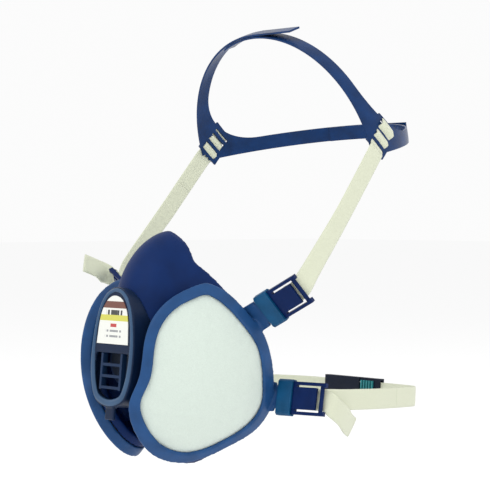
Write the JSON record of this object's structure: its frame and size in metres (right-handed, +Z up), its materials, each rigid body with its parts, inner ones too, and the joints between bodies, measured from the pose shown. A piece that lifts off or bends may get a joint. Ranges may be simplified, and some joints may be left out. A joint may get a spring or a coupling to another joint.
{
  "type": "half-mask respirator",
  "caption": "Half-mask dust respirator with two side filters, exhalation valve, head cradle and clasped neck strap.",
  "frame": {"origin": "centre of the face opening, where the wearer's nose and mouth sit", "axes": "+Y towards the wearer, +X towards the wearer's left, +Z up"},
  "size_m": [0.1884, 0.229, 0.2714],
  "materials": {
    "facepiece": "satin soft moulded thermoplastic rubber",
    "filter_rim": "satin moulded plastic",
    "filter_pad": "fluffy needled fibre",
    "carbon": "bonded granules",
    "grid": "moulded plastic",
    "valve_rubber": "thin silicone sheet",
    "cover": "satin moulded plastic",
    "guard": "moulded plastic",
    "label": "printed film",
    "collar": "satin moulded plastic",
    "buckle": "semi-gloss moulded plastic",
    "elastic": "woven elastic webbing",
    "cradle": "thin flexible moulded plastic",
    "clasp": "moulded plastic"
  },
  "bodies": {
    "mask": {"facepiece": "facepiece", "left_filter_rim": "filter_rim", "right_filter_rim": "filter_rim", "left_prefilter": "filter_pad", "right_prefilter": "filter_pad", "left_carbon_bed": "carbon", "right_carbon_bed": "carbon", "left_filter_grid": "grid", "right_filter_grid": "grid", "exhalation_valve_seat": "grid", "valve_cover": "cover", "cover_guard": "guard", "cover_label": "label", "upper_left_collar": "collar", "upper_left_buckle": "buckle", "upper_left_strap_loop": "elastic", "upper_right_collar": "collar", "upper_right_buckle": "buckle", "upper_right_strap_loop": "elastic", "lower_left_collar": "collar", "lower_left_buckle": "buckle", "lower_left_strap_loop": "elastic", "lower_right_collar": "collar", "lower_right_buckle": "buckle", "lower_right_strap_loop": "elastic"},
    "exhalation_flap": {"exhalation_flap": "valve_rubber"},
    "left_inhalation_flap": {"left_inhalation_flap": "valve_rubber"},
    "right_inhalation_flap": {"right_inhalation_flap": "valve_rubber"},
    "head_harness": {"cradle_left": "cradle", "upper_left_strap": "elastic"},
    "cradle_slider": {"cradle_right": "cradle", "upper_right_strap": "elastic"},
    "neck_harness": {"lower_left_strap": "elastic", "lower_left_strap_tail": "elastic", "lower_right_strap": "elastic", "clasp_receiver": "clasp"},
    "clasp_hook": {"clasp_hook": "clasp"}
  },
  "joints": [
    {"name": "exhalation_flap_lift", "type": "hinge", "parent": "mask", "child": "exhalation_flap", "pos_m": [0, -0.0596, 0.0045], "axis": [-1, 0, 0], "range_deg": [0, 12], "stiffness_Nm_per_rad": 0.0002},
    {"name": "left_inhalation_flap_lift", "type": "hinge", "parent": "mask", "child": "left_inhalation_flap", "pos_m": [0.04082, -0.03449, -0.00236], "axis": [0.3746, 0.9272, 0], "range_deg": [0, 18], "stiffness_Nm_per_rad": 0.0002},
    {"name": "right_inhalation_flap_lift", "type": "hinge", "parent": "mask", "child": "right_inhalation_flap", "pos_m": [-0.04082, -0.03449, -0.00236], "axis": [0.3746, -0.9272, 0], "range_deg": [0, 18], "stiffness_Nm_per_rad": 0.0002},
    {"name": "head_harness_swing", "type": "hinge", "parent": "mask", "child": "head_harness", "pos_m": [0, 0.002, 0.035], "axis": [1, 0, 0], "range_deg": [-40, 45]},
    {"name": "cradle_adjust", "type": "slide", "parent": "head_harness", "child": "cradle_slider", "axis": [-1, 0, 0], "range_m": [0, 0.008]},
    {"name": "neck_strap_swing", "type": "hinge", "parent": "mask", "child": "neck_harness", "pos_m": [0, 0.023, -0.03], "axis": [1, 0, 0], "range_deg": [-60, 25]},
    {"name": "clasp_release", "type": "slide", "parent": "neck_harness", "child": "clasp_hook", "axis": [0, 0.9981, -0.061], "range_m": [0, 0.01]}
  ]
}
